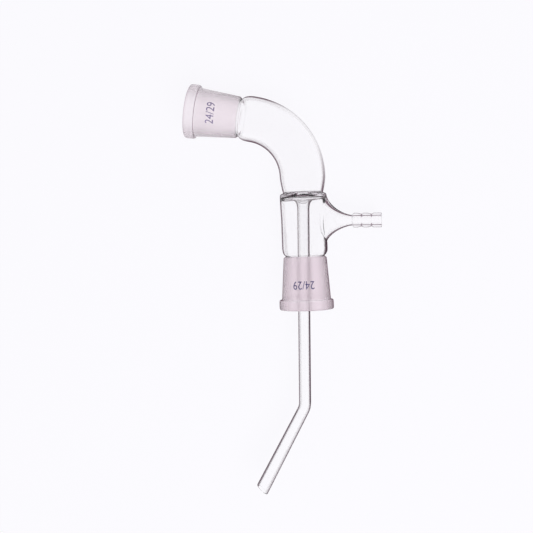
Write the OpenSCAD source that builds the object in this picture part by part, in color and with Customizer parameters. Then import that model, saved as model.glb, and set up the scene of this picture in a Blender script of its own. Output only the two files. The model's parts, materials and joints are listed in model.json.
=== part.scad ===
// Vacuum take-off adapter in clear borosilicate glass, blown as one piece.
// A bent vapour tube is ring-sealed into a wider body. Its drip tube runs on inside the
// body, out through the lower ground socket, and ends in a slanted tip. The body has a
// side arm with a ridged nozzle for a vacuum hose, so the hose draws on the annular
// space around the drip tube.
// The adapter is built upright, with the ring seal at the origin, and then laid down as it
// comes to rest on a bench: the body points to +Y, the hose nozzle to +X, and both
// collars and the underside of the bend touch z = 0.

/* [Ground sockets] */
// Bore at the mouth of both ground sockets
joint_bore_d = 24; // [20:0.5:26]
// Narrowing of the ground bore per millimetre of its length
joint_taper = 0.1; // [0.06:0.01:0.12]
// Length of the inlet socket, from its neck to its mouth
inlet_l = 29.4; // [24:0.2:38]
// Length of the outlet socket, from its neck to its mouth
outlet_l = 29.8; // [24:0.2:38]
// Glass around the bore beside the collar
socket_wall = 2.3; // [1.8:0.1:3]
// Glass around the narrow end of the inlet's bore
inlet_end_wall = 1.3; // [1:0.1:2]
// Glass around the narrow end of the outlet's bore
outlet_end_wall = 1.8; // [1.4:0.1:2.2]

/* [Collars] */
// Length of the collar around each mouth
collar_l = 5.9; // [4:0.2:9]
// Height of the collar above the socket beside it
collar_rim = 1.55; // [1.3:0.05:3]
// Rounding of the collar's two outer edges
collar_edge = 0.9; // [0.4:0.1:1.2]
// Bevel inside each mouth
mouth_bevel = 0.5; // [0.2:0.1:1]

/* [Vapour bend] */
// Outer diameter of the bent tube
bend_d = 26; // [24:0.5:29]
// Wall of the bent tube
bend_wall = 1.4; // [1:0.1:2.2]
// Radius of the bend's centre line
bend_r = 34.3; // [24:0.1:50]
// Angle that the bend turns through
bend_angle = 80; // [60:1:90]
// Straight length between the ring seal and the bend
riser_l = 10.9; // [9:0.1:30]

/* [Necks] */
// Length of the neck between the bend and the inlet socket
inlet_neck_l = 7.4; // [6:0.1:14]
// Outer diameter at the waist of the inlet's neck
inlet_neck_d = 21.7; // [20.6:0.1:22.6]
// Outer diameter at the waist of the outlet's neck
outlet_neck_d = 22.3; // [21:0.1:23.4]
// Glass around the bore at both waists
neck_wall = 1.4; // [1:0.1:1.8]
// Length of the body's rounded shoulder above the outlet's neck
shoulder_l = 4.6; // [3:0.2:7]

/* [Ring seal] */
// Outer diameter of the vapour tube where it enters the seal
seal_waist_d = 22.8; // [21:0.1:23.6]
// Height of the seal's bead above the body
seal_swell = 0.35; // [0.1:0.05:0.6]
// Length over which the body swells out to the bead
swell_l = 14; // [9:0.5:18]
// Thickness of the glass plate that closes the body around the funnel
seal_plate = 1.8; // [1.6:0.1:3]

/* [Body] */
// Outer diameter of the body
body_d = 26; // [25:0.5:29]
// Wall of the body
body_wall = 1.4; // [1.1:0.1:2.2]
// Length of the body, from the ring seal to the outlet socket
body_l = 35.2; // [32:0.2:60]

/* [Side arm] */
// Distance of the arm's root below the ring seal
arm_drop = 14.7; // [13:0.1:18]
// Distance from the body's centre line to the nozzle's tip
arm_reach = 44; // [38:0.5:60]
// Droop of the arm from square to the body
arm_droop = 1.4; // [0:0.2:4]
// Distance of the flare's upper edge below the ring seal
flare_gap = 1.1; // [1:0.1:4]
// Depth of the flare below the arm, along the body
flare_down = 12.2; // [8:0.1:13]
// Width of the flare across the body
flare_w = 16.6; // [13:0.2:20]
// Fullness of the flare's outline, where 1 is a straight cone
flare_power = 1.55; // [1.2:0.05:2.2]
// Wall of the flare where it leaves the body
flare_wall = 1; // [0.9:0.1:1.6]
// Outer diameter of the neck between the flare and the nozzle
arm_neck_d = 6; // [5.6:0.1:7.4]
// Bore through the nozzle
arm_bore_d = 4; // [2.6:0.1:4.6]

/* [Hose nozzle] */
// Length of the ridged nozzle
nozzle_l = 16.7; // [12:0.1:20]
// Outer diameter over the ridges
ridge_d = 8.3; // [7.8:0.1:10]
// Outer diameter in the valleys between the ridges
valley_d = 7.1; // [6.8:0.1:7.6]
// Number of ridges
ridge_count = 3; // [2:1:4]
// Length of the rise to each ridge
ridge_rise = 0.8; // [0.6:0.1:1.6]
// Length of the flat top of each ridge
ridge_flat = 2.4; // [1:0.1:2.8]
// Bevel at the nozzle's tip
nozzle_edge = 0.4; // [0.2:0.1:0.6]

/* [Drip tube] */
// Outer diameter of the drip tube
drip_d = 6.9; // [6:0.1:9]
// Wall of the drip tube
drip_wall = 1; // [0.8:0.1:1.4]
// Lean of the drip tube from the body's centre line
drip_lean = 1.35; // [0.2:0.05:2]
// Length from the ring seal to the corner of the tube's bend
drip_l = 121; // [90:0.1:160]
// Angle of the bend in the drip tube
drip_angle = 27.6; // [10:0.1:45]
// Radius of that bend's centre line
drip_bend_r = 10; // [6:0.5:16]
// Length from the corner of the bend to the middle of the tip
tail_l = 54.5; // [30:0.5:80]
// Outer diameter at the tip
tip_d = 7.8; // [7.4:0.1:10]
// Slant of the tip from a square cut
tip_slant = 15.6; // [5:0.1:40]
// Radius that the funnel at the top of the drip tube opens towards
funnel_r = 10.2; // [8:0.1:10.8]
// Height of that funnel below the plate of the seal
funnel_l = 6.2; // [4:0.1:9]

/* [Hidden] */
$fn = 96;
// Steps in each rounded profile, and around and along the side arm's flare
round_steps = 8;
flare_sides = 40;
flare_rings = 12;
// Fullness of the drawn-in end of the vapour tube, where 1 is a straight cone
draw_power = 1.4;
// Angle that the funnel's curve sweeps before it meets the plate of the seal
funnel_sweep = 80;
// How far joined solids run into each other and cuts run out of them
overrun = 0.5;
// How far one solid stands over the end of the next, so that their faces cross cleanly
lip = 0.05;
flare_lip = 0.15;

// Radii
bend_ro = bend_d / 2;
bend_ri = bend_ro - bend_wall;
body_ro = body_d / 2;
body_ri = body_ro - body_wall;
swell_ro = body_ro + seal_swell;
swell_ri = swell_ro - body_wall;
drip_ro = drip_d / 2;
drip_ri = drip_ro - drip_wall;
waist_ro = seal_waist_d / 2;
waist_ri = waist_ro - bend_wall;
inlet_waist_ro = inlet_neck_d / 2;
outlet_waist_ro = outlet_neck_d / 2;
arm_neck_ro = arm_neck_d / 2;
arm_bore_r = arm_bore_d / 2;
collar_r = bore_r(collar_l) + socket_wall + collar_rim;
funnel_ri = funnel_r - drip_wall;

// Heights around the ring seal, where the body keeps its full swell down to swell_full
plate_top = seal_plate / 2;
plate_low = -seal_plate / 2;
bead_h = 1.5;
bead_rise = 0.5;
bead_top = plate_top + bead_rise;
ceiling_round = 2.4;
swell_full = swell_l / 3;

// Parts of the two necks
waist_l = 1.1;
neck_step = 0.5;
inlet_waist_z = inlet_neck_l - waist_l - neck_step;
outlet_waist_z = -body_l + waist_l;
outlet_shoulder_z = outlet_waist_z + shoulder_l;

// Lengths along the branches
inlet_total = inlet_neck_l + inlet_l;
outlet_total = body_l + outlet_l;
nozzle_base = arm_reach - nozzle_l;
ridge_pitch = nozzle_l / ridge_count;
drip_tangent = drip_bend_r * tan(drip_angle / 2);
drip_straight = drip_l - drip_tangent;
tail_straight = tail_l - drip_tangent;

// Where the branches start, on the upright adapter
inlet_base = [-bend_r + bend_r * cos(bend_angle), 0, riser_l + bend_r * sin(bend_angle)];
arm_root = [body_ro, 0, -arm_drop];
tail_base = [-drip_bend_r + drip_bend_r * cos(drip_angle), 0,
             -drip_straight - drip_bend_r * sin(drip_angle)];

// Radius of the ground bore at a distance from its mouth
function bore_r(from_mouth) = joint_bore_d / 2 - joint_taper / 2 * from_mouth;

// A rounded profile that leaves r_a along the axis and meets r_b square to the axis
function rounded(r_a, r_b, z_a, z_b) =
    [for (i = [0:round_steps]) let (t = 90 * i / round_steps)
        [r_b + (r_a - r_b) * cos(t), z_a + (z_b - z_a) * sin(t)]];

// A profile that is drawn in from r_a, along the axis, to a slope at r_b
function drawn_in(r_a, r_b, z_a, z_b) =
    [for (i = [0:round_steps]) let (x = i / round_steps)
        [r_a + (r_b - r_a) * pow(x, draw_power), z_a + (z_b - z_a) * x]];

// Part of a circle as profile points
function arc(mid_r, mid_z, radius, from, to) =
    [for (i = [0:round_steps]) let (t = from + (to - from) * i / round_steps)
        [mid_r + radius * cos(t), mid_z + radius * sin(t)]];

function backwards(points) = [for (i = [len(points) - 1:-1:0]) points[i]];
function upside_down(points) = [for (p = points) [p[0], -p[1]]];

// Outside of a ground socket, from its narrow end at z = base to the axis at its mouth
function socket_outside(base, length, end_wall) = concat(
    [[bore_r(length) + end_wall, base],
     [collar_r - collar_rim, base + length - collar_l]],
    arc(collar_r - collar_edge, base + length - collar_l + collar_edge, collar_edge, -90, 0),
    arc(collar_r - collar_edge, base + length - collar_edge, collar_edge, 0, 90),
    [[0, base + length]]);

// Ground bore of the same socket, run out through its mouth
function socket_inside(base, length) = [
    [bore_r(length), base],
    [bore_r(mouth_bevel), base + length - mouth_bevel],
    [bore_r(0) + mouth_bevel, base + length],
    [bore_r(0) + mouth_bevel, base + length + overrun],
    [0, base + length + overrun]];

// One ring of the arm's flare, in the arm's frame: its Z runs along the arm, its X down
// the body and its Y across. t runs from 0 at the neck to 90 at the body's wall.
function flare_ring(t, neck_r, inset, wall_r) =
    let (along = pow(sin(t), 2 / flare_power),
         outward = 1 - pow(cos(t), 2 / flare_power))
    [for (k = [0:flare_sides - 1])
        let (a = 360 * k / flare_sides,
             half_l = (cos(a) > 0 ? flare_down : arm_drop - flare_gap) - inset,
             edge_x = half_l * cos(a),
             edge_y = (flare_w / 2 - inset) * sin(a),
             edge_z = sqrt(wall_r * wall_r - edge_y * edge_y) - overrun)
        [neck_r * cos(a) * (1 - outward) + edge_x * outward,
         neck_r * sin(a) * (1 - outward) + edge_y * outward,
         nozzle_base + (edge_z - nozzle_base) * along]];

// A point turned about the Y axis, as rotate([0, angle, 0]) turns it
function turned(p, angle) =
    [p[0] * cos(angle) + p[2] * sin(angle), p[1], p[2] * cos(angle) - p[0] * sin(angle)];

// Points of the branches, laid flat with the rest of the adapter in the XY plane
function laid(p) = [p[0], p[2], -p[1]];
function laid_inlet(z) = laid(inlet_base + turned([0, 0, z], -bend_angle));
function laid_outlet(z) = [0, -z, 0];
function laid_arm(z) = laid(arm_root + turned([0, 0, z - body_ro], 90 + arm_droop));
function laid_tail(x, z) = laid(turned(tail_base + turned([x, 0, z], drip_angle), drip_lean));

// How far a circle reaches in a direction
function reach(middle, way, radius, towards) =
    middle * towards + radius * sqrt(1 - pow(way * towards, 2));

// The flat adapter tips over the backs of its two collars until the bend touches too
inlet_way = [-sin(bend_angle), cos(bend_angle), 0];
outlet_way = [0, -1, 0];
inlet_heel = laid_inlet(inlet_total - collar_l + collar_edge);
outlet_heel = laid_outlet(outlet_total - collar_l + collar_edge);
bend_middle = [-bend_r, riser_l, 0];
heel_line = (outlet_heel - inlet_heel) / norm(outlet_heel - inlet_heel);
bend_side = cross([0, 0, 1], heel_line);
tip_angle = asin((collar_r - bend_ro) / (bend_side * (bend_middle - inlet_heel) + bend_r));
tip_axis = -heel_line;
floor_up = [0, 0, 1] * cos(tip_angle) - bend_side * sin(tip_angle);
floor_drop = max(
    reach(inlet_heel, inlet_way, collar_r, -floor_up),
    reach(outlet_heel, outlet_way, collar_r, -floor_up),
    (bend_side * bend_middle + bend_r) * sin(tip_angle) + bend_ro);

// The flat adapter's own direction that ends up along v once it has tipped
function untipped(v) =
    v * cos(tip_angle) - cross(tip_axis, v) * sin(tip_angle)
    + tip_axis * (tip_axis * v) * (1 - cos(tip_angle));

// Sides of the box around the tipped adapter
row_x = untipped([1, 0, 0]);
row_y = untipped([0, 1, 0]);
rim_r = collar_r - collar_edge;
inlet_rim = laid_inlet(inlet_total - collar_edge);
right_side = reach(laid_arm(arm_reach), laid_arm(1) - laid_arm(0),
                   ridge_d / 2 - nozzle_edge, row_x);
left_side = -reach(inlet_rim, inlet_way, rim_r, -row_x) - collar_edge;
top_side = reach(inlet_rim, inlet_way, rim_r, row_y) + collar_edge;
low_side = laid_tail(tip_d / 2, -tail_straight - tip_d / 2 * tan(tip_slant)) * row_y;

module at_rest() {
    translate([-(left_side + right_side) / 2, -(top_side + low_side) / 2, floor_drop])
        rotate(a = tip_angle, v = tip_axis)
            rotate([-90, 0, 0])
                children();
}

module revolved(profile) {
    rotate_extrude()
        polygon(profile);
}

// A round rod bent along an arc, from the origin up and over towards -X
module bent_rod(radius, angle, middle_r) {
    translate([-middle_r, 0, 0])
        rotate([90, 0, 0])
            rotate_extrude(angle = angle)
                translate([middle_r, 0])
                    circle(radius);
}

module at_inlet() {
    translate(inlet_base)
        rotate([0, -bend_angle, 0])
            children();
}

module at_arm() {
    translate(arm_root)
        rotate([0, 90 + arm_droop, 0])
            translate([0, 0, -body_ro])
                children();
}

// Vapour tube and inlet socket, solid
module vapour_outside() {
    revolved(concat(
        [[0, 0], [waist_ro, 0]],
        backwards(drawn_in(bend_ro + lip, waist_ro, riser_l, bead_top)),
        [[bend_ro + lip, riser_l + overrun], [0, riser_l + overrun]]));
    translate([0, 0, riser_l])
        bent_rod(bend_ro, bend_angle, bend_r);
    at_inlet()
        revolved(concat(
            [[0, -overrun], [bend_ro + lip, -overrun]],
            rounded(bend_ro + lip, inlet_waist_ro, 0, inlet_waist_z),
            [[inlet_waist_ro, inlet_neck_l - neck_step]],
            socket_outside(inlet_neck_l, inlet_l, inlet_end_wall)));
}

// Space inside the vapour tube and the inlet socket
module vapour_inside() {
    revolved(concat(
        [[0, plate_top], [waist_ri, plate_top]],
        backwards(drawn_in(bend_ri + lip, waist_ri, riser_l, bead_top)),
        [[bend_ri + lip, riser_l + overrun], [0, riser_l + overrun]]));
    translate([0, 0, riser_l])
        bent_rod(bend_ri, bend_angle, bend_r);
    at_inlet()
        revolved(concat(
            [[0, -overrun], [bend_ri + lip, -overrun]],
            rounded(bend_ri + lip, inlet_waist_ro - neck_wall, 0, inlet_waist_z),
            [[inlet_waist_ro - neck_wall, inlet_neck_l - neck_step]],
            socket_inside(inlet_neck_l, inlet_l)));
}

// Body, bead of the ring seal and outlet socket, solid
module body_outside() {
    revolved(concat(
        [[0, bead_top]],
        backwards(rounded(swell_ro, waist_ro - overrun, bead_top - bead_h, bead_top)),
        [[swell_ro, -swell_full], [body_ro, -swell_l]],
        rounded(body_ro, outlet_waist_ro, outlet_shoulder_z, outlet_waist_z),
        [[outlet_waist_ro, -body_l + neck_step]],
        upside_down(socket_outside(body_l, outlet_l, outlet_end_wall))));
}

// Space inside the body and the outlet socket
module body_inside() {
    revolved(concat(
        [[0, plate_low]],
        backwards(rounded(swell_ri, swell_ri - ceiling_round, plate_low - ceiling_round, plate_low)),
        [[swell_ri, -swell_full], [body_ri, -swell_l]],
        rounded(body_ri, outlet_waist_ro - neck_wall, outlet_shoulder_z, outlet_waist_z),
        [[outlet_waist_ro - neck_wall, -body_l + neck_step]],
        upside_down(socket_inside(body_l, outlet_l))));
}

// The trumpet between the arm's neck and the body's wall, run on to a flat end inside it
module flare(neck_r, inset, wall_r) {
    flat_end = wall_r / 2;
    rings = concat(
        [for (i = [0:flare_rings]) flare_ring(90 * i / flare_rings, neck_r, inset, wall_r)],
        [[for (p = flare_ring(90, neck_r, inset, wall_r)) [p[0], p[1], flat_end]]]);
    last = len(rings) - 1;
    polyhedron(
        points = [for (ring = rings) each ring],
        faces = concat(
            [[for (k = [flare_sides - 1:-1:0]) k]],
            [for (i = [0:last - 1], k = [0:flare_sides - 1])
                let (a = i * flare_sides + k, b = i * flare_sides + (k + 1) % flare_sides)
                each [[b + flare_sides, a + flare_sides, a], [b, b + flare_sides, a]]],
            [[for (k = [0:flare_sides - 1]) last * flare_sides + k]]));
}

// Side arm and hose nozzle, solid
module arm_outside() {
    at_arm() {
        flare(arm_neck_ro, 0, body_ro);
        revolved(concat(
            [[0, nozzle_base - overrun], [arm_neck_ro + flare_lip, nozzle_base - overrun]],
            [for (i = [0:ridge_count - 1])
                let (foot = nozzle_base + i * ridge_pitch)
                each [[i == 0 ? arm_neck_ro + flare_lip : valley_d / 2, foot],
                      [ridge_d / 2, foot + ridge_rise],
                      [ridge_d / 2, i == ridge_count - 1 ? arm_reach - nozzle_edge
                                                         : foot + ridge_rise + ridge_flat]]],
            [[ridge_d / 2 - nozzle_edge, arm_reach], [0, arm_reach]]));
    }
}

// Space inside the side arm
module arm_inside() {
    at_arm() {
        flare(arm_bore_r - flare_lip, flare_wall, body_ri);
        translate([0, 0, nozzle_base - overrun])
            cylinder(h = nozzle_l + 2 * overrun, r = arm_bore_r);
    }
}

// Drip tube with its funnel, as a rod of the given radii that runs past the tip
module drip_rod(radius, tip_r, funnel, foot, head, past_tip) {
    taper = (tip_r - radius - lip) / (tail_straight + overrun);
    rotate([0, drip_lean, 0]) {
        revolved(concat(
            [[0, -drip_straight - overrun], [radius + lip, -drip_straight - overrun],
             [radius + lip, -drip_straight], [radius, -drip_straight + overrun]],
            [for (i = [0:round_steps]) let (t = funnel_sweep * i / round_steps)
                [radius + (funnel - radius) * (1 - cos(t)), foot + (head - foot) * sin(t)]],
            [[0, foot + (head - foot) * sin(funnel_sweep)]]));
        translate([0, 0, -drip_straight])
            mirror([0, 0, 1])
                bent_rod(radius, drip_angle, drip_bend_r);
        translate(tail_base)
            rotate([0, drip_angle, 0])
                translate([0, 0, -tail_straight - past_tip])
                    cylinder(h = tail_straight + past_tip + overrun,
                             r1 = tip_r + taper * past_tip, r2 = radius + lip);
    }
}

// The slanted end that is cut off the drip tube
module tip_cut() {
    rotate([0, drip_lean, 0])
        translate(tail_base)
            rotate([0, drip_angle, 0])
                translate([0, 0, -tail_straight])
                    rotate([0, tip_slant, 0])
                        translate([-tip_d, -tip_d, -3 * tip_d])
                            cube([2 * tip_d, 2 * tip_d, 3 * tip_d]);
}

module drip_outside() {
    difference() {
        drip_rod(drip_ro, tip_d / 2, funnel_r, plate_low - funnel_l, plate_low + overrun, tip_d);
        tip_cut();
    }
}

module drip_inside() {
    drip_rod(drip_ri, tip_d / 2 - drip_wall, funnel_ri, plate_low - funnel_l + drip_wall,
             plate_top + overrun, 2 * tip_d);
}

module adapter() {
    color([0.93, 0.91, 0.95, 0.5])
        at_rest()
            difference() {
                union() {
                    difference() {
                        union() {
                            body_outside();
                            vapour_outside();
                            arm_outside();
                        }
                        body_inside();
                        arm_inside();
                    }
                    drip_outside();
                }
                vapour_inside();
                drip_inside();
            }
}

adapter();
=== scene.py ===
import json
import math

import bmesh
import bpy
from mathutils import Matrix, Vector


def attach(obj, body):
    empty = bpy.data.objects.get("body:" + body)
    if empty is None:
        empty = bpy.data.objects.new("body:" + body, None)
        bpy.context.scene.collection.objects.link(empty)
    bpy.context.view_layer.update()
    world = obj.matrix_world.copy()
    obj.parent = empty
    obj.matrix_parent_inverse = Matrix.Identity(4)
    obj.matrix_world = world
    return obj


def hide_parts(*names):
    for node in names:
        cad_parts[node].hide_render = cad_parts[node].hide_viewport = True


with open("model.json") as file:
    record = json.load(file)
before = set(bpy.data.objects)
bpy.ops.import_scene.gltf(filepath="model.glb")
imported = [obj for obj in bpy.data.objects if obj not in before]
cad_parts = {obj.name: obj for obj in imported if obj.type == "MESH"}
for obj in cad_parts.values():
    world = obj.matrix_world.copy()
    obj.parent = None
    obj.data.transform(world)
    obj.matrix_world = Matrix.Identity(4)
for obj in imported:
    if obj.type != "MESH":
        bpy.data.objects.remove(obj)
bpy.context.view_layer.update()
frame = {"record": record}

print("frame loaded")

# Where the adapter lies. The glass is modelled upright in millimetres, with the ring seal
# at the origin, the body down -Z, the inlet towards -X and the side arm towards +X.
mounts = {m["name"]: m for m in frame["record"]["mounts"]}
millimetre = 0.001
outletReach = 65.0  # from the ring seal to the outlet's mouth
bodyUp = -Vector(mounts["outlet_socket"]["axis"]).normalized()
inletWay = Vector(mounts["inlet_socket"]["axis"]).normalized()
towardsViewer = bodyUp.cross(inletWay).normalized()
towardsArm = bodyUp.cross(towardsViewer)
sealPlace = Vector(mounts["outlet_socket"]["pos_m"]) + bodyUp * outletReach * millimetre


def framed(x, y, z, place):
    turn = Matrix((x, y, z)).transposed().to_4x4()
    turn.translation = place
    return turn


uprightToRow = framed(towardsArm, -towardsViewer, bodyUp, sealPlace) @ Matrix.Scale(millimetre, 4)
flatToRow = framed(towardsArm, bodyUp, towardsViewer, sealPlace) @ Matrix.Scale(millimetre, 4)


def deselectAll():
    if bpy.context.mode != "OBJECT":
        bpy.ops.object.mode_set(mode="OBJECT")
    bpy.ops.object.select_all(action="DESELECT")


def rounded(fromR, toR, fromZ, toZ, steps=6):
    # leaves fromR along the axis and meets toR square to the axis
    return [(toR + (fromR - toR) * math.cos(math.pi / 2 * i / steps),
             fromZ + (toZ - fromZ) * math.sin(math.pi / 2 * i / steps)) for i in range(steps + 1)]


def drawnIn(fromR, toR, fromZ, toZ, power, steps=7):
    return [(fromR + (toR - fromR) * (i / steps) ** power, fromZ + (toZ - fromZ) * i / steps)
            for i in range(steps + 1)]


def straight(fromR, toR, fromZ, toZ, steps):
    return [(fromR + (toR - fromR) * i / steps, fromZ + (toZ - fromZ) * i / steps)
            for i in range(1, steps)]


glass = {
    "columns": 48,
    "boreMouth": 24.0, "boreTaper": 0.1, "inletLength": 29.4, "outletLength": 29.8,
    "socketWall": 2.3, "inletEndWall": 1.3, "outletEndWall": 1.8,
    "collarLength": 5.9, "collarRim": 1.55, "collarEdge": 0.9, "mouthBevel": 0.5,
    "bendOuter": 26.0, "bendWall": 1.4, "bendRadius": 34.3, "bendAngle": 80.0, "riser": 10.9,
    "inletNeck": 7.4, "inletWaist": 21.7, "outletWaist": 22.3, "neckWall": 1.4,
    "waist": 1.1, "neckStep": 0.5, "shoulder": 4.6,
    "sealWaist": 22.8, "sealSwell": 0.35, "swellLength": 14.0, "sealPlate": 1.8,
    "beadTop": 1.4, "beadHeight": 1.5, "drawPower": 1.4, "ceilingRound": 2.4,
    "bodyOuter": 26.0, "bodyWall": 1.4, "bodyLength": 35.2, "wallRows": 12,
    "dripOuter": 6.9, "dripWall": 1.0, "dripLean": 1.35, "dripLength": 121.0,
    "dripAngle": 27.6, "dripBendRadius": 10.0, "tailLength": 54.5, "tipOuter": 7.8,
    "tipSlant": 15.6, "tipEase": 9.0, "tipRound": 0.35, "funnelRadius": 10.2, "funnelHeight": 6.2,
    "funnelTuck": 0.5, "bendSteps": 18, "dripBendSteps": 8, "inletSleeve": 0.6,
}


def axisPoint(spot, tilt, z):
    # a point z along an axis that leans by tilt degrees from upright
    return spot + Vector((math.sin(math.radians(tilt)) * z, 0, math.cos(math.radians(tilt)) * z))


def swung(degrees, reach):
    # a vector turned about Y, so that +X goes towards -Z
    return Matrix.Rotation(math.radians(degrees), 3, "Y") @ reach


# the levels along the body, the drip tube's bend and tip, and where the inlet's neck begins
origin = Vector((0, 0, 0))
plateTop, plateLow = glass["sealPlate"] / 2, -glass["sealPlate"] / 2
waistZ = glass["bodyLength"] - glass["waist"]
shoulderZ = waistZ - glass["shoulder"]
lean, tailTilt = glass["dripLean"], glass["dripLean"] + glass["dripAngle"]
tangent = glass["dripBendRadius"] * math.tan(math.radians(glass["dripAngle"] / 2))
dripStraight, tailStraight = glass["dripLength"] - tangent, glass["tailLength"] - tangent
dripEnd = axisPoint(origin, lean, -dripStraight)
dripMiddle = dripEnd + swung(lean, Vector((-glass["dripBendRadius"], 0, 0)))
tailBase = dripMiddle + swung(glass["dripAngle"], dripEnd - dripMiddle)
tip = axisPoint(tailBase, tailTilt, -tailStraight)
bendMiddle = Vector((-glass["bendRadius"], 0, glass["riser"]))
inletSpot = bendMiddle + swung(-glass["bendAngle"], Vector((glass["bendRadius"], 0, 0)))


def markSelected(marks):
    # values for the finish: ground, sleeve, inside and narrow, from 0 to 1
    if marks:
        mesh = bmesh.from_edit_mesh(bpy.context.object.data)
        for name, value in marks.items():
            layer = mesh.verts.layers.float.get(name) or mesh.verts.layers.float.new(name)
            for v in mesh.verts:
                if v.select:
                    v[layer] = value
        bmesh.update_edit_mesh(bpy.context.object.data)


class RingChain:
    # a tube drawn ring by ring: each ring is extruded from the last, moved, turned and scaled

    def __init__(self, spot, tilt, radius, columns):
        deselectAll()
        bpy.ops.mesh.primitive_circle_add(vertices=columns, radius=radius)
        self.piece = bpy.context.object
        bpy.ops.object.mode_set(mode="EDIT")
        bpy.ops.mesh.select_all(action="SELECT")
        self.spot, self.tilt, self.radius = Vector((0, 0, 0)), 0.0, radius
        self.place(spot, tilt, radius)
        self.marks = {}

    def place(self, spot, tilt, radius):
        bpy.ops.transform.translate(value=spot - self.spot)
        if abs(tilt - self.tilt) > 1e-6:
            bpy.ops.transform.rotate(value=-math.radians(tilt - self.tilt), orient_axis="Y",
                                     center_override=spot)
        if abs(radius - self.radius) > 1e-6:
            bpy.ops.transform.resize(value=(radius / self.radius,) * 3, center_override=spot)
        self.spot, self.tilt, self.radius = Vector(spot), tilt, radius

    def ring(self, spot, tilt, radius):
        bpy.ops.mesh.extrude_edges_move()
        self.place(spot, tilt, radius)
        markSelected(self.marks)  # rings drawn from this one keep its marks
        self.marks = {}

    def along(self, base, tilt, profile):
        for radius, z in profile:
            self.ring(axisPoint(base, tilt, z), tilt, radius)

    def bend(self, middle, angle, steps):
        bpy.ops.mesh.spin(steps=steps, angle=math.radians(angle), center=middle, axis=(0, 1, 0))
        self.spot = middle + swung(-angle, self.spot - middle)
        self.tilt -= angle


def boreAt(depth):
    # the ground bore's radius, at a depth from the mouth
    return glass["boreMouth"] / 2 - glass["boreTaper"] / 2 * depth


def coneRim():
    # the socket's outer radius where its collar begins
    return boreAt(glass["collarLength"]) + glass["socketWall"]


def socketOutside(base, length, endWall):
    g = glass
    rim, end = coneRim(), boreAt(length) + endWall
    collar, top, edge = rim + g["collarRim"], base + length, g["collarEdge"]
    foot = top - g["collarLength"]
    return ([(end, base), (end + 0.04, base + 0.5)]
            + straight(end, rim, base, foot, 6)
            + [(rim - 0.03, foot - 0.4), (rim + 0.12, foot), (collar - edge, foot + 0.03),
               (collar - edge * 0.3, foot + edge * 0.3), (collar, foot + edge),
               (collar, foot + g["collarLength"] / 2), (collar, top - edge),
               (collar - edge * 0.3, top - edge * 0.3), (collar - edge, top),
               (g["boreMouth"] / 2 + g["mouthBevel"] + 0.3, top)])


def socketInside(base, length):
    # from the mouth down to the narrow end of the ground bore
    g = glass
    mouth, narrow, top = g["boreMouth"] / 2, boreAt(length), base + length
    return ([(mouth + g["mouthBevel"], top - 0.05), (mouth + 0.05, top - g["mouthBevel"]),
             (mouth - 0.03, top - g["mouthBevel"] - 0.5)]
            + straight(mouth, narrow, top, base, 9)
            + [(narrow + 0.02, base + 0.4), (narrow, base)])


def bodyOutsideAt(z):
    # the body swells a little towards the seal
    full, start = -glass["swellLength"] / 3, -glass["swellLength"]
    share = min(1, max(0, (z - start) / (full - start)))
    return glass["bodyOuter"] / 2 + glass["sealSwell"] * share


def bodyInsideAt(z):
    return bodyOutsideAt(z) - glass["bodyWall"]


def evenRows(radiusAt, fromZ, toZ):
    # the rows of wall that the side arm's patch is cut from
    levels = [fromZ + (toZ - fromZ) * i / glass["wallRows"] for i in range(glass["wallRows"] + 1)]
    return [(radiusAt(z), z) for z in levels]


def funnel(throat, wide, foot, head, angles):
    return [(throat + (wide - throat) * (1 - math.cos(math.radians(t))),
             foot + (head - foot) * math.sin(math.radians(t))) for t in angles]


def upsideDown(profile):
    return [(r, -z) for r, z in profile]


def startDripOutside():
    # from the drip tube's tip up to the funnel under the seal
    g = glass
    dripOut, tipOut, edge = g["dripOuter"] / 2, g["tipOuter"] / 2, g["tipRound"]
    foot, head = plateLow - g["funnelHeight"], plateLow + g["funnelTuck"]
    chain = RingChain(tip, tailTilt, tipOut - edge, g["columns"])
    markSelected({"ground": 0.0, "sleeve": 0.0, "inside": 0.0, "narrow": 1.0})
    chain.along(tip, tailTilt, [(tipOut - 0.1, 0.08), (tipOut, edge), (tipOut, 0.9)]
                + straight(tipOut, dripOut, 0, tailStraight, 9) + [(dripOut, tailStraight)])
    chain.bend(dripMiddle, g["dripAngle"], g["dripBendSteps"])
    chain.along(origin, lean, straight(dripOut, dripOut, -dripStraight, foot, 14))
    chain.along(origin, lean, funnel(dripOut, g["funnelRadius"], foot, head, (0, 12, 24, 36, 48, 58)))
    return chain


def drawBodyInside(chain):
    # underside of the seal's plate, inside of the body and the outlet's ground bore
    g = glass
    bodyIn, neckIn = g["bodyOuter"] / 2 - g["bodyWall"], g["outletWaist"] / 2 - g["neckWall"]
    swellIn = bodyIn + g["sealSwell"]
    flareTop = -arm["drop"] + arm["innerUp"]
    flareLow = -arm["drop"] - arm["flareDown"] + arm["flareWall"]
    chain.marks = {"inside": 1.0, "narrow": 0.0}
    chain.along(origin, 0, [(8.0, plateLow - 0.05), (8.8, plateLow)]
                + rounded(swellIn, swellIn - g["ceilingRound"], plateLow - g["ceilingRound"], plateLow)[::-1])
    chain.along(origin, 0, evenRows(bodyInsideAt, flareTop, flareLow) + [(bodyIn, flareLow - 2.0)])
    chain.along(origin, 0, upsideDown(rounded(bodyIn, neckIn, shoulderZ, waistZ))
                + [(neckIn, -g["bodyLength"] + g["neckStep"])])
    chain.marks = {"ground": 1.0}
    chain.along(origin, 0, upsideDown(socketInside(g["bodyLength"], g["outletLength"])[::-1]))


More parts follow.
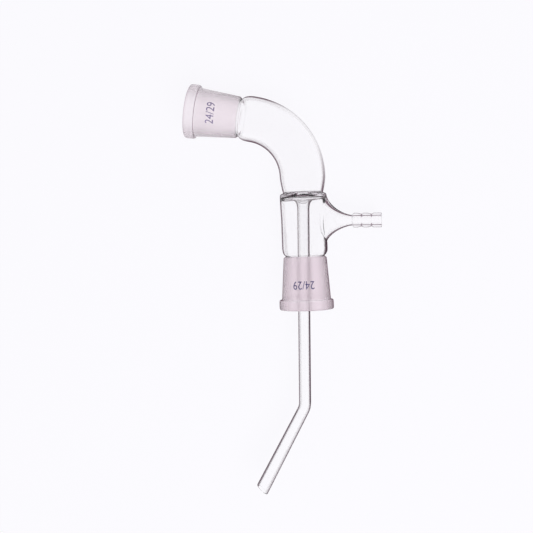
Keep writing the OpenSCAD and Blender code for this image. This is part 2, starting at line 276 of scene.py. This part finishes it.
def drawBodyOutside(chain):
    # outlet socket, neck and body outside, up to the bead of the ring seal
    g = glass
    bodyOut, neckOut = g["bodyOuter"] / 2, g["outletWaist"] / 2
    flareTop, flareLow = -arm["drop"] + arm["flareUp"], -arm["drop"] - arm["flareDown"]
    socket = socketOutside(g["bodyLength"], g["outletLength"], g["outletEndWall"])
    chain.marks = {"ground": 0.0, "inside": 0.0, "sleeve": 1.0}
    chain.along(origin, 0, upsideDown(socket[::-1]))
    chain.marks = {"sleeve": 0.0}
    chain.along(origin, 0, [(neckOut, -g["bodyLength"] + g["neckStep"])]
                + upsideDown(rounded(bodyOut, neckOut, shoulderZ, waistZ)[::-1]))
    chain.along(origin, 0, [(bodyOut, flareLow - 1.2)] + evenRows(bodyOutsideAt, flareLow, flareTop))
    chain.along(origin, 0, rounded(bodyOut + g["sealSwell"], g["sealWaist"] / 2 - 0.1,
                                   g["beadTop"] - g["beadHeight"], g["beadTop"]))


def drawBendOutside(chain):
    # outside of the riser, the bend and the inlet's neck and socket
    g = glass
    bendOut, neckOut, waistOut = g["bendOuter"] / 2, g["inletWaist"] / 2, g["sealWaist"] / 2
    neckZ, tilt = g["inletNeck"] - g["waist"] - g["neckStep"], -g["bendAngle"]
    chain.along(origin, 0, drawnIn(bendOut, waistOut, g["riser"], g["beadTop"], g["drawPower"])[::-1][1:])
    chain.bend(bendMiddle, g["bendAngle"], g["bendSteps"])
    chain.along(inletSpot, tilt, rounded(bendOut, neckOut, 0, neckZ)[1:]
                + [(neckOut, g["inletNeck"] - g["neckStep"])])
    chain.marks = {"sleeve": g["inletSleeve"]}
    chain.along(inletSpot, tilt, socketOutside(g["inletNeck"], g["inletLength"], g["inletEndWall"]))


def drawBendInside(chain):
    # back through the inlet's bore and the bend to the plate of the seal
    g = glass
    bendIn, neckIn = g["bendOuter"] / 2 - g["bendWall"], g["inletWaist"] / 2 - g["neckWall"]
    waistIn = g["sealWaist"] / 2 - g["bendWall"]
    neckZ, tilt = g["inletNeck"] - g["waist"] - g["neckStep"], -g["bendAngle"]
    chain.marks = {"ground": 1.0, "inside": 1.0, "sleeve": 0.0}
    chain.along(inletSpot, tilt, socketInside(g["inletNeck"], g["inletLength"]))
    chain.marks = {"ground": 0.0}
    chain.along(inletSpot, tilt, [(neckIn, g["inletNeck"] - g["neckStep"])]
                + rounded(bendIn, neckIn, 0, neckZ)[::-1])
    chain.bend(bendMiddle, -g["bendAngle"], g["bendSteps"])
    chain.along(origin, 0, drawnIn(bendIn, waistIn, g["riser"], g["beadTop"], g["drawPower"])[1:]
                + [(waistIn - 0.15, plateTop + 0.25), (waistIn - 0.5, plateTop + 0.03), (8.2, plateTop)])


def drawDripInside(chain):
    # inside of the funnel and the drip tube, down to the tip
    g = glass
    dripIn, tipIn = g["dripOuter"] / 2 - g["dripWall"], g["tipOuter"] / 2 - g["dripWall"]
    foot, head = plateLow - g["funnelHeight"] + g["dripWall"], plateTop + g["funnelTuck"]
    edge = g["tipRound"]
    chain.marks = {"narrow": 1.0}
    chain.along(origin, lean, funnel(dripIn, g["funnelRadius"] - g["dripWall"], foot, head,
                                     (66, 56, 46, 36, 24, 12, 0)))
    chain.along(origin, lean, straight(dripIn, dripIn, foot, -dripStraight, 14) + [(dripIn, -dripStraight)])
    chain.bend(dripMiddle, -g["dripAngle"], g["dripBendSteps"])
    chain.along(tip, tailTilt, straight(dripIn, tipIn, tailStraight, 0, 9)
                + [(tipIn, 0.9), (tipIn, edge), (tipIn + 0.1, 0.08), (tipIn + edge, 0)])


def makeGlass():
    chain = startDripOutside()
    for draw in (drawBodyInside, drawBodyOutside, drawBendOutside, drawBendInside, drawDripInside):
        draw(chain)
    print("rings drawn")
    mesh = bmesh.from_edit_mesh(chain.piece.data)
    mesh.verts.ensure_lookup_table()
    for v in mesh.verts[:glass["columns"]]:  # the last ring closes onto the first
        v.select = True
    mesh.select_flush(True)
    bpy.ops.mesh.bridge_edge_loops()
    slantTip()
    return chain.piece


def slantTip():
    # the tip is cut at a slant, which eases off up the tube
    mesh = bmesh.from_edit_mesh(bpy.context.object.data)
    axis = axisPoint(origin, tailTilt, 1)
    side = swung(90, axis)
    slope = math.tan(math.radians(glass["tipSlant"]))
    for v in mesh.verts:
        away = (v.co - tip).dot(axis)
        if -1 < away < glass["tipEase"] and (v.co - tip - axis * away).length < glass["tipOuter"]:
            v.co -= axis * (v.co - tip).dot(side) * slope * (1 - away / glass["tipEase"])
    bmesh.update_edit_mesh(bpy.context.object.data)


arm = {
    "drop": 14.7, "reach": 44.0, "droop": 1.4,
    "flareUp": 13.6, "flareDown": 12.2, "flareWidth": 16.6, "flarePower": 1.55, "flareWall": 1.0,
    "innerUp": 10.9, "neckOuter": 6.0, "bore": 4.0,
    "nozzleLength": 16.7, "ridgeOuter": 8.3, "valleyOuter": 7.1, "ridges": 3,
    "ridgeRise": 0.8, "ridgeFlat": 2.4, "tipEdge": 0.4,
    "flareAngles": (84, 77, 70, 62, 54, 46, 38, 30, 22, 14, 7, 0), "outlineFullness": 2.4,
    "patchColumns": 5, "ease": 6.0, "easeRounds": 6, "narrowShare": 0.45,
}


def armPoint(x, y, z):
    # x down the body, y across it and z along the arm from the body's middle
    root = Vector((glass["bodyOuter"] / 2, 0, -arm["drop"]))
    return root + swung(90 + arm["droop"], Vector((x, y, z - glass["bodyOuter"] / 2)))


def openWall(radiusAt, up, down, halfWidth):
    # deletes a patch of one wall and fits the hole's edge to the flare's outline on that wall
    piece = bpy.context.object
    bpy.ops.mesh.select_all(action="DESELECT")
    mesh = bmesh.from_edit_mesh(piece.data)
    widest = math.radians(360 / glass["columns"] * arm["patchColumns"])
    for f in mesh.faces:
        c = f.calc_center_median()
        f.select = (abs(math.atan2(c.y, c.x)) < widest
                    and abs(math.hypot(c.x, c.y) - radiusAt(c.z)) < glass["bodyWall"] / 4
                    and -arm["drop"] - down < c.z < -arm["drop"] + up)
    bmesh.update_edit_mesh(piece.data)
    bpy.ops.mesh.delete(type="FACE")
    selectHole(lambda v: v.co.x < glass["bodyOuter"])
    mesh = bmesh.from_edit_mesh(piece.data)
    around = mesh.verts.layers.float.get("around") or mesh.verts.layers.float.new("around")
    edge = {v for v in mesh.verts if v.select}
    for v in edge:
        below = -arm["drop"] - v.co.z
        v[around] = math.atan2(v.co.y / halfWidth, below / (down if below > 0 else up))
        x, y = flareEdge(v[around], up, down, halfWidth)
        z = -arm["drop"] - x
        v.co = (math.sqrt(radiusAt(z) ** 2 - y * y), y, z)
    near = [v for v in mesh.verts if v not in edge and v.co.x > 2
            and -arm["drop"] - down - arm["ease"] < v.co.z < -arm["drop"] + up - 0.05
            and abs(math.hypot(v.co.x, v.co.y) - radiusAt(v.co.z)) < glass["bodyWall"] / 4]
    for i in range(arm["easeRounds"]):  # the wall's own faces close up evenly around the hole
        moved = {v: sum((e.other_vert(v).co for e in v.link_edges), Vector()) / len(v.link_edges)
                 for v in near}
        for v, co in moved.items():
            flat = math.hypot(co.x, co.y)
            v.co = (co.x * radiusAt(co.z) / flat, co.y * radiusAt(co.z) / flat, co.z)
    bmesh.update_edit_mesh(piece.data)


def selectHole(test):
    bpy.ops.mesh.select_mode(type="EDGE")
    bpy.ops.mesh.select_all(action="DESELECT")
    mesh = bmesh.from_edit_mesh(bpy.context.object.data)
    for e in mesh.edges:
        e.select = e.is_boundary and test(e.verts[0])
    mesh.select_flush(True)
    bmesh.update_edit_mesh(bpy.context.object.data)


def flareEdge(a, up, down, halfWidth):
    # the flare's outline on the wall, a little squarer than an ellipse
    n = arm["outlineFullness"]
    k = (abs(math.cos(a)) ** n + abs(math.sin(a)) ** n) ** (-1 / n)
    return k * math.cos(a) * (down if math.cos(a) > 0 else up), k * math.sin(a) * halfWidth


def drawFlare(radiusAt, up, down, halfWidth, neckR):
    power = 2 / arm["flarePower"]
    for t in arm["flareAngles"]:
        bpy.ops.mesh.extrude_edges_move()
        mesh = bmesh.from_edit_mesh(bpy.context.object.data)
        around = mesh.verts.layers.float["around"]
        alongArm = math.sin(math.radians(t)) ** power
        outward = 1 - math.cos(math.radians(t)) ** power
        base = arm["reach"] - arm["nozzleLength"]
        narrow = mesh.verts.layers.float["narrow"]
        for v in mesh.verts:
            if v.select:
                v[narrow] = (1 - outward) * arm["narrowShare"]
                x, y = flareEdge(v[around], up, down, halfWidth)
                edgeZ = math.sqrt(radiusAt(-arm["drop"] - x) ** 2 - y * y)
                v.co = armPoint(neckR * math.cos(v[around]) * (1 - outward) + x * outward,
                                neckR * math.sin(v[around]) * (1 - outward) + y * outward,
                                base + (edgeZ - base) * alongArm)
        bmesh.update_edit_mesh(bpy.context.object.data)


def armRings(r, z, profile):
    for nextR, nextZ in profile:
        bpy.ops.mesh.extrude_edges_move()
        bpy.ops.transform.translate(value=armPoint(0, 0, nextZ) - armPoint(0, 0, z))
        bpy.ops.transform.resize(value=(nextR / r,) * 3, center_override=armPoint(0, 0, nextZ))
        r, z = nextR, nextZ


def growArm():
    base, end = arm["reach"] - arm["nozzleLength"], arm["reach"]
    neckR, ridgeR, valleyR = arm["neckOuter"] / 2, arm["ridgeOuter"] / 2, arm["valleyOuter"] / 2
    openWall(bodyOutsideAt, arm["flareUp"], arm["flareDown"], arm["flareWidth"] / 2)
    drawFlare(bodyOutsideAt, arm["flareUp"], arm["flareDown"], arm["flareWidth"] / 2, neckR)
    profile, pitch = [], arm["nozzleLength"] / arm["ridges"]
    for i in range(arm["ridges"]):
        foot = base + i * pitch
        low = valleyR if i else neckR
        profile += [(low + 0.03, foot + 0.1), (low + 0.12, foot + 0.25),
                    (ridgeR - 0.12, foot + arm["ridgeRise"] - 0.05),
                    (ridgeR, foot + arm["ridgeRise"] + 0.2)]
        if i < arm["ridges"] - 1:
            land = foot + arm["ridgeRise"] + arm["ridgeFlat"]
            profile += [(ridgeR, land - 0.3), (ridgeR - 0.06, land + 0.3),
                        (valleyR + 0.04, foot + pitch - 0.3)]
    edge = arm["tipEdge"]
    profile += [(ridgeR, end - edge - 0.4), (ridgeR, end - edge), (ridgeR - edge * 0.35, end - edge * 0.25),
                (ridgeR - edge, end), (arm["bore"] / 2 + 0.5, end)]
    armRings(neckR, base, profile)
    innerWidth = arm["flareWidth"] / 2 - arm["flareWall"]
    openWall(bodyInsideAt, arm["innerUp"], arm["flareDown"] - arm["flareWall"], innerWidth)
    drawFlare(bodyInsideAt, arm["innerUp"], arm["flareDown"] - arm["flareWall"], innerWidth, arm["bore"] / 2)
    armRings(arm["bore"] / 2, base, straight(arm["bore"] / 2, arm["bore"] / 2, base, end, 5)
             + [(arm["bore"] / 2, end - 0.5), (arm["bore"] / 2 + 0.08, end - 0.12),
                (arm["bore"] / 2 + 0.3, end)])
    selectHole(lambda v: True)
    bpy.ops.mesh.bridge_edge_loops()
    print("side arm drawn")


# how strongly each place is darkened with painted shade
creaseShades = {
    "outletFoot": 0.35, "outletLip": 0.15, "inletFoot": 1.0, "inletLip": 0.6,
    "footReach": 0.25, "lipReach": 0.35, "seal": 0.12, "sealFrom": 0.55, "sealClear": 0.5,
    "valley": 1.0, "boreClear": 0.3, "valleyReach": 0.15, "tipClear": 1.0,
}


def markCollar(piece, base, tilt, mouth, foot, lip):
    # painted shade: darker lines where the collar meets its cone and around its mouth
    rim, creaseShade = coneRim(), piece.data.attributes["creaseShade"].data
    axis = axisPoint(origin, tilt, 1)
    for v in piece.data.vertices:
        along = (v.co - base).dot(axis)
        away = (v.co - base - axis * along).length
        atFoot = abs(along - mouth + glass["collarLength"]) < creaseShades["footReach"]
        if atFoot and rim - 0.1 < away < rim + glass["collarRim"] / 2:
            creaseShade[v.index].value = foot
        elif abs(along - mouth) < creaseShades["lipReach"] and away > rim:
            creaseShade[v.index].value = lip


def markSealAndValleys(piece):
    # painted shade: a greyer seal, and dark valleys between the nozzle's ridges
    c, creaseShade = creaseShades, piece.data.attributes["creaseShade"].data
    base = armPoint(0, 0, arm["reach"] - arm["nozzleLength"])
    sealFrom, sealTo = glass["funnelRadius"] * c["sealFrom"], glass["sealWaist"] / 2 - c["sealClear"]
    valleyFrom, valleyTo = arm["bore"] / 2 + c["boreClear"], arm["valleyOuter"] / 2 + c["valleyReach"]
    for v in piece.data.vertices:
        onArm = swung(-90 - arm["droop"], v.co - base)
        if abs(v.co.z) < glass["beadTop"] and sealFrom < math.hypot(v.co.x, v.co.y) < sealTo:
            creaseShade[v.index].value = c["seal"]
        elif (0 < onArm.z < arm["nozzleLength"] - c["tipClear"]
              and valleyFrom < math.hypot(onArm.x, onArm.y) < valleyTo):
            creaseShade[v.index].value = c["valley"]


def markCreaseShades(piece):
    piece.data.attributes.new("creaseShade", "FLOAT", "POINT")
    markCollar(piece, origin, 180, glass["bodyLength"] + glass["outletLength"],
               creaseShades["outletFoot"], creaseShades["outletLip"])
    markCollar(piece, inletSpot, -glass["bendAngle"], glass["inletNeck"] + glass["inletLength"],
               creaseShades["inletFoot"], creaseShades["inletLip"])
    markSealAndValleys(piece)


def finishGlass(piece):
    bpy.ops.mesh.select_all(action="SELECT")
    bpy.ops.mesh.remove_doubles(threshold=0.0001)
    bpy.ops.mesh.normals_make_consistent(inside=False)
    bpy.ops.object.mode_set(mode="OBJECT")
    smooth = piece.modifiers.new("smooth", "SUBSURF")
    smooth.levels = smooth.render_levels = 1
    bpy.ops.object.modifier_apply(modifier=smooth.name)
    markCreaseShades(piece)
    piece.data.transform(uprightToRow)
    bpy.ops.object.shade_smooth()


adapterGlass = makeGlass()
growArm()
finishGlass(adapterGlass)
adapterGlass.name = "adapterGlass"
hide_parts("adapter")
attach(adapterGlass, "root")
print("glass made:", len(adapterGlass.data.polygons), "faces")

sizePrint = {
    "words": "24/29", "size": 6.6, "narrower": 0.84, "thinner": 0.03,
    "outletPlace": 50.35, "outletTurn": 0.45, "inletPlace": 21.6, "inletTurn": -0.8,
    "sunk": 0.09, "raised": 0.04, "strip": 0.5,
    "ink": (0.012, 0.008, 0.095, 1), "paleInk": (0.17, 0.135, 0.26, 1), "inkRoughness": 0.5,
    "inkGrain": 2600.0, "paleFrom": (0.45, 0.85), "wornFrom": (0.0, 5.0), "wornShare": 0.7,
}


def printSize(name, base, tilt, socketBase, length, endWall, place, turn):
    # the joint's size is wrapped around the socket's cone, with its top towards the mouth
    p, out = sizePrint, Vector((0, -1, 0))
    deselectAll()
    bpy.ops.object.text_add()
    words = bpy.context.object
    words.name, words.data.body, words.data.size = name, p["words"], p["size"]
    words.data.align_x = words.data.align_y = "CENTER"
    words.data.offset, words.data.extrude = -p["thinner"], (p["sunk"] + p["raised"]) / 2
    bpy.ops.object.convert(target="MESH")
    piece = bpy.context.object
    bpy.ops.object.mode_set(mode="EDIT")
    bpy.ops.mesh.select_all(action="SELECT")
    bpy.ops.mesh.remove_doubles(threshold=0.0005)
    half = max(abs(v.co.x) for v in bmesh.from_edit_mesh(piece.data).verts)
    strips = round(2 * half / p["strip"])
    for i in range(1, strips):
        bpy.ops.mesh.select_all(action="SELECT")
        bpy.ops.mesh.bisect(plane_co=(half * (2 * i / strips - 1), 0, 0), plane_no=(1, 0, 0))
    bpy.ops.object.mode_set(mode="OBJECT")
    up = axisPoint(origin, tilt, 1)
    right = up.cross(out)
    foot = socketBase + length - glass["collarLength"]
    coneStart, coneEnd = boreAt(length) + endWall, coneRim()
    for v in piece.data.vertices:
        z = place + v.co.y
        radius = coneStart + (coneEnd - coneStart) * (z - socketBase) / (foot - socketBase)
        around = (v.co.x * p["narrower"] + turn) / radius
        height = radius + v.co.z + (p["raised"] - p["sunk"]) / 2
        v.co = base + up * z + (out * math.cos(around) + right * math.sin(around)) * height
    piece.data.transform(uprightToRow)
    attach(piece, "root")
    return piece


prints = [
    printSize("outletPrint", origin, 180, glass["bodyLength"], glass["outletLength"],
              glass["outletEndWall"], sizePrint["outletPlace"], sizePrint["outletTurn"]),
    printSize("inletPrint", inletSpot, -glass["bendAngle"], glass["inletNeck"], glass["inletLength"],
              glass["inletEndWall"], sizePrint["inletPlace"], sizePrint["inletTurn"]),
]
print("sizes printed")


view = {
    "lens": 64.37, "sensor": 36.0, "yaw": -6.225, "pitch": 1.742, "roll": 1.947,
    "sealInView": (20.887, 40.452, -542.866),  # the seal's place before the camera, in mm
}
cameraTurn = (Matrix.Rotation(math.radians(view["roll"]), 4, "Z")
              @ Matrix.Rotation(math.radians(view["pitch"]), 4, "X")
              @ Matrix.Rotation(math.radians(view["yaw"]), 4, "Y"))
toCamera = Matrix.Translation(view["sealInView"]) @ cameraTurn
deselectAll()
bpy.ops.object.camera_add()
camera = bpy.context.object
camera.data.lens, camera.data.sensor_width = view["lens"], view["sensor"]
cameraPlace = flatToRow @ toCamera.inverted()
camera.matrix_world = Matrix.LocRotScale(cameraPlace.to_translation(), cameraPlace.to_quaternion(), None)
bpy.context.scene.camera = camera


class Socket:
    # a shader value that Python arithmetic can be written on: each sum adds its Math node

    def __init__(self, tree, link):
        self.tree, self.link = tree, link

    def math(self, operation, *values):
        return node(self.tree, "ShaderNodeMath", {"operation": operation}, dict(enumerate(values)))

    def __add__(self, other):
        return self.math("ADD", self, other)

    def __mul__(self, other):
        return self.math("MULTIPLY", self, other)

    def __sub__(self, other):
        return self.math("SUBTRACT", self, other)

    def __rsub__(self, other):
        return self.math("SUBTRACT", other, self)

    def __truediv__(self, other):
        return self.math("DIVIDE", self, other)

    __radd__ = __add__
    __rmul__ = __mul__


def node(tree, kind, settings={}, inputs={}, output=0):
    # adds a node: its settings first, then the values or links of its sockets
    made = tree.nodes.new(kind)
    for name, value in settings.items():
        setattr(made, name, value)
    for name, value in inputs.items():
        if isinstance(value, Socket):
            tree.links.new(value.link, made.inputs[name])
        else:
            made.inputs[name].default_value = value
    return Socket(tree, made.outputs[output]) if made.outputs else made


def newMaterial(name):
    made = bpy.data.materials.new(name)
    made.use_nodes = True
    made.node_tree.nodes.clear()
    return made, made.node_tree


def mix(tree, share, a, b):
    return node(tree, "ShaderNodeMix", {"data_type": "RGBA"}, {0: share, 6: a, 7: b}, 2)


def noise(tree, spot, scale):
    return node(tree, "ShaderNodeTexNoise", {}, {"Vector": spot, "Scale": scale, "Detail": 2.0}, "Fac")


def parts(tree, vector):
    # the X and Y of a vector
    return [node(tree, "ShaderNodeSeparateXYZ", {}, {"Vector": vector}, axis) for axis in "XY"]


# the dark colour here is a painted reflection ring, seen only by rays that the glass has reflected
backdrop = {
    "seen": (0.973, 0.965, 1.0, 1), "paintedDarkReflection": (0.10, 0.030, 0.062, 1),
    "ringFrom": (0.0, 0.01), "ringTo": (0.11, 0.28),
    "lighterFrom": (0.055, 0.085), "darkUnder": -0.015, "lighterAside": (0.007, 0.021), "lighterShare": 0.88,
    "floor": (0.82, 0.81, 0.83, 1), "floorSize": 6.0, "shadowShare": 0.05, "worldLight": 0.55,
    "lampPlace": (0.35, -0.45, 0.9), "lampSize": 0.8, "lampPower": 9.0,
}


def backdropShare(tree):
    # 1 where the camera, a reflection or a view through glass meets the backdrop
    path = {name: node(tree, "ShaderNodeLightPath", {}, {}, name)
            for name in ("Is Camera Ray", "Is Glossy Ray", "Is Transmission Ray")}
    seen = path["Is Camera Ray"].math("MAXIMUM", path["Is Camera Ray"], path["Is Glossy Ray"])
    return seen.math("MAXIMUM", seen, path["Is Transmission Ray"])


def fade(value, low, high):
    # 0 at low and 1 at high
    share = (value - low) / (high - low)
    return share.math("MINIMUM", share.math("MAXIMUM", share, 0.0), 1.0)


def makeFloor():
    bpy.ops.mesh.primitive_plane_add(size=backdrop["floorSize"])
    floor = bpy.context.object
    floor.name = "floor"
    material, tree = newMaterial("paleFloor")
    lit = node(tree, "ShaderNodeBsdfDiffuse", {}, {"Color": backdrop["floor"]})
    # painted reflection: light that the glass has reflected, and that meets the bench within about 45 degrees
    # of upright, finds a painted dark ring there; the inlet's end stays pale, except for a strip under the
    # bend
    slant = node(tree, "ShaderNodeLayerWeight", {}, {"Blend": 0.5}, "Facing")
    ring = fade(slant, *backdrop["ringFrom"]) * (1 - fade(slant, *backdrop["ringTo"]))
    place = node(tree, "ShaderNodeTexCoord", {}, {}, "Object")
    overBench, upTheBench = parts(tree, place)
    aside = overBench.math("ABSOLUTE", overBench - backdrop["darkUnder"])
    lighter = fade(upTheBench, *backdrop["lighterFrom"]) * fade(aside, *backdrop["lighterAside"])
    ring = ring * (1 - lighter * backdrop["lighterShare"])
    turned = node(tree, "ShaderNodeLightPath", {}, {}, "Glossy Depth")
    colour = mix(tree, ring * turned.math("MINIMUM", turned, 1.0), backdrop["seen"], backdrop["paintedDarkReflection"])
    shown = node(tree, "ShaderNodeEmission", {}, {"Color": colour, "Strength": 1.0})
    share = backdropShare(tree) * (1 - backdrop["shadowShare"])
    both = node(tree, "ShaderNodeMixShader", {}, {0: share, 1: lit, 2: shown})
    node(tree, "ShaderNodeOutputMaterial", {}, {"Surface": both})
    floor.data.materials.append(material)


def makeLight():
    world = bpy.data.worlds.new("studio")
    bpy.context.scene.world = world
    world.use_nodes = True
    tree = world.node_tree
    tree.nodes.clear()
    share = backdropShare(tree)
    strength = share + (1 - share) * backdrop["worldLight"]
    shown = node(tree, "ShaderNodeBackground", {}, {"Color": backdrop["seen"], "Strength": strength})
    node(tree, "ShaderNodeOutputWorld", {}, {"Surface": shown})
    bpy.ops.object.light_add(type="AREA", location=backdrop["lampPlace"])
    lamp = bpy.context.object
    lamp.data.shape, lamp.data.size, lamp.data.energy = "DISK", backdrop["lampSize"], backdrop["lampPower"]
    lamp.visible_glossy = lamp.visible_transmission = False  # no hot spots in the glass
    lamp.rotation_euler = (-lamp.location).to_track_quat("-Z", "Y").to_euler()


makeFloor()
makeLight()
bpy.context.scene.view_settings.view_transform = "Standard"
print("camera, floor and light set")


clearGlass = {
    "ior": 1.47, "absorb": (0.96, 0.92, 0.95, 1), "absorbDensity": 40.0,
    # the next four lines shape the painted edge shade
    "edge": (0.035, 0.006, 0.018, 1), "wideEdge": 0.73, "narrowEdge": 0.24, "edgeSpread": 0.12,
    "insideShare": 0.25, "leftShare": 0.5, "sideFade": (-0.4, 0.8), "tailFrom": (-117.0, -124.0),
    "bendLighter": 0.3, "bendFrom": (6.0, 18.0), "outerLighter": 0.4, "outerFrom": (-6.0, 6.0),
    "shoulderWider": 0.30, "shoulderFrom": (-16.0, -22.0), "shoulderSide": (0.6, 0.9),
    "sleeve": (0.985, 0.87, 0.92, 1), "sleeveSideShade": (0.84, 0.72, 0.775, 1), "sleeveFade": (0.12, 0.60),
    "frostLeft": 0.35, "frostFade": (-0.8, 0.8), "grainScale": 1300.0, "grainDepth": 0.30,
    # the next three lines place the painted shade of the seal and the weld
    "paintedSealShade": (0.022, 0.011, 0.016, 1), "sealShadeLevel": -0.6, "sealShadeEdge": (0.3, 0.8), "sealShadeTo": (6.0, 8.5),
    "sealShadeDip": 1.3, "dipFrom": (-7.0, -12.0),
    "weldPlace": 16.9, "weldEdge": (0.25, 0.6), "weldSide": (0.45, 0.75), "weldShadeShare": 0.8,
    "creaseShade": (0.20, 0.12, 0.16, 1), "nozzleFrom": (26.0, 27.0), "valleySide": (0.58, 0.88),
    "ground": (1.0, 0.985, 0.99, 1), "groundRoughness": 0.50,
}


def fromSeal(tree, spot, way):
    # millimetres from the middle of the ring seal along a direction
    inputs = {0: spot, 1: tuple(way)}
    along = node(tree, "ShaderNodeVectorMath", {"operation": "DOT_PRODUCT"}, inputs, "Value")
    return (along - way.dot(sealPlace)) / millimetre


def surface(tree):
    # what the glass reads at a point: its marks, how it faces, and where it is in millimetres
    at = {name: node(tree, "ShaderNodeAttribute", {"attribute_name": name}, {}, "Fac")
          for name in ("ground", "sleeve", "inside", "narrow", "creaseShade")}
    at["facing"] = node(tree, "ShaderNodeLayerWeight", {}, {"Blend": 0.5}, "Facing")
    at["spot"] = node(tree, "ShaderNodeTexCoord", {}, {}, "Object")
    at["up"], at["across"] = fromSeal(tree, at["spot"], bodyUp), fromSeal(tree, at["spot"], towardsArm)
    toRight, at["toTop"] = parts(tree, node(tree, "ShaderNodeTexCoord", {}, {}, "Normal"))
    # painted shade: the bent tail is darker on its other side
    at["toRight"] = toRight * (1 - 2 * fade(at["up"], *clearGlass["tailFrom"]))
    return at


def paintedEdgeShade(at):
    # painted shade: tubes are darkened along their edges, the arm's side more than the other, as though lit
    # from the inlet's side
    g = clearGlass
    start = g["wideEdge"] + at["narrow"] * (g["narrowEdge"] - g["wideEdge"])
    side = g["leftShare"] + (1 - g["leftShare"]) * fade(at["toRight"], *g["sideFade"])
    outer = fade(at["across"], *g["outerFrom"]) * g["outerLighter"]
    side = side * (1 - fade(at["up"], *g["bendFrom"]) * (g["bendLighter"] + outer))
    shoulder = fade(at["up"], *g["shoulderFrom"]) * fade(at["toRight"], *g["shoulderSide"])
    shoulder = shoulder * (1 - at["narrow"]) * (1 - at["sleeve"])
    edge = fade(at["facing"] - start + shoulder * g["shoulderWider"], 0.0, g["edgeSpread"])
    return edge * side * (1 - at["inside"] * (1 - g["insideShare"]))


def frostColour(tree, at):
    # the ground bores show through their clear sleeves as a grainy, faintly pink frost; the sleeves are
    # darkened towards their edges and more on the sides that face right and top, which is painted shade
    g = clearGlass
    grain = 1 + (noise(tree, at["spot"], g["grainScale"]) - 0.5) * g["grainDepth"]
    side = g["frostLeft"] + (1 - g["frostLeft"]) * fade(at["toRight"] + at["toTop"], *g["frostFade"])
    return mix(tree, fade(at["facing"], *g["sleeveFade"]) * side * grain, g["sleeve"], g["sleeveSideShade"])


def paintedSealAndWeldShade(at):
    # painted shade: a dark band along the ring seal that dips at one end, and a dark line where the arm was
    # welded on around its flare, shown only where the glass turns from view
    g, up, across = clearGlass, at["up"], at["across"]
    level = g["sealShadeLevel"] - fade(across, *g["dipFrom"]) * g["sealShadeDip"]
    paintedSealShade = (1 - fade(up.math("ABSOLUTE", up - level), *g["sealShadeEdge"])) * (1 - fade(across, *g["sealShadeTo"]))
    weldSideShade = 1 - fade(across.math("ABSOLUTE", across - g["weldPlace"]), *g["weldEdge"])
    weldSideShade = weldSideShade * fade(at["facing"], *g["weldSide"]) * g["weldShadeShare"]
    return (paintedSealShade + weldSideShade) * (1 - at["inside"])


def creaseShadeShare(at):
    # the painted shade in the nozzle's valleys shows only along its two sides
    g, toTop = clearGlass, at["toTop"]
    middle = 1 - fade(toTop.math("ABSOLUTE", toTop), *g["valleySide"])
    return at["creaseShade"] * (1 - fade(at["across"], *g["nozzleFrom"]) * middle)


def glassMaterial():
    g = clearGlass
    material, tree = newMaterial("borosilicateGlass")
    at = surface(tree)
    # painted shade darkens the glass along its edges
    colour = mix(tree, paintedEdgeShade(at), (1, 1, 1, 1), g["edge"])
    colour = mix(tree, at["sleeve"], colour, frostColour(tree, at))
    colour = mix(tree, creaseShadeShare(at), colour, g["creaseShade"])
    colour = mix(tree, paintedSealAndWeldShade(at), colour, g["paintedSealShade"])
    colour = mix(tree, at["ground"], colour, g["ground"])
    shader = node(tree, "ShaderNodeBsdfPrincipled", {}, {
        "Base Color": colour, "Roughness": at["ground"] * g["groundRoughness"], "IOR": g["ior"],
        "Transmission Weight": 1.0})
    volume = node(tree, "ShaderNodeVolumeAbsorption", {},
                  {"Color": g["absorb"], "Density": g["absorbDensity"]})
    node(tree, "ShaderNodeOutputMaterial", {}, {"Surface": shader, "Volume": volume})
    return material


def inkMaterial():
    p = sizePrint
    material, tree = newMaterial("printingInk")
    spot = node(tree, "ShaderNodeTexCoord", {}, {}, "Object")
    grain = noise(tree, spot, p["inkGrain"])
    worn = fade(fromSeal(tree, spot, bodyUp), *p["wornFrom"]) * p["wornShare"]  # the inlet's print is paler
    colour = mix(tree, fade(grain, *p["paleFrom"]) + worn, p["ink"], p["paleInk"])
    shader = node(tree, "ShaderNodeBsdfPrincipled", {},
                  {"Base Color": colour, "Roughness": p["inkRoughness"]})
    node(tree, "ShaderNodeOutputMaterial", {}, {"Surface": shader})
    return material


adapterGlass.data.materials.append(glassMaterial())
ink = inkMaterial()
for piece in prints:
    piece.data.materials.append(ink)
print("glass and ink finished")
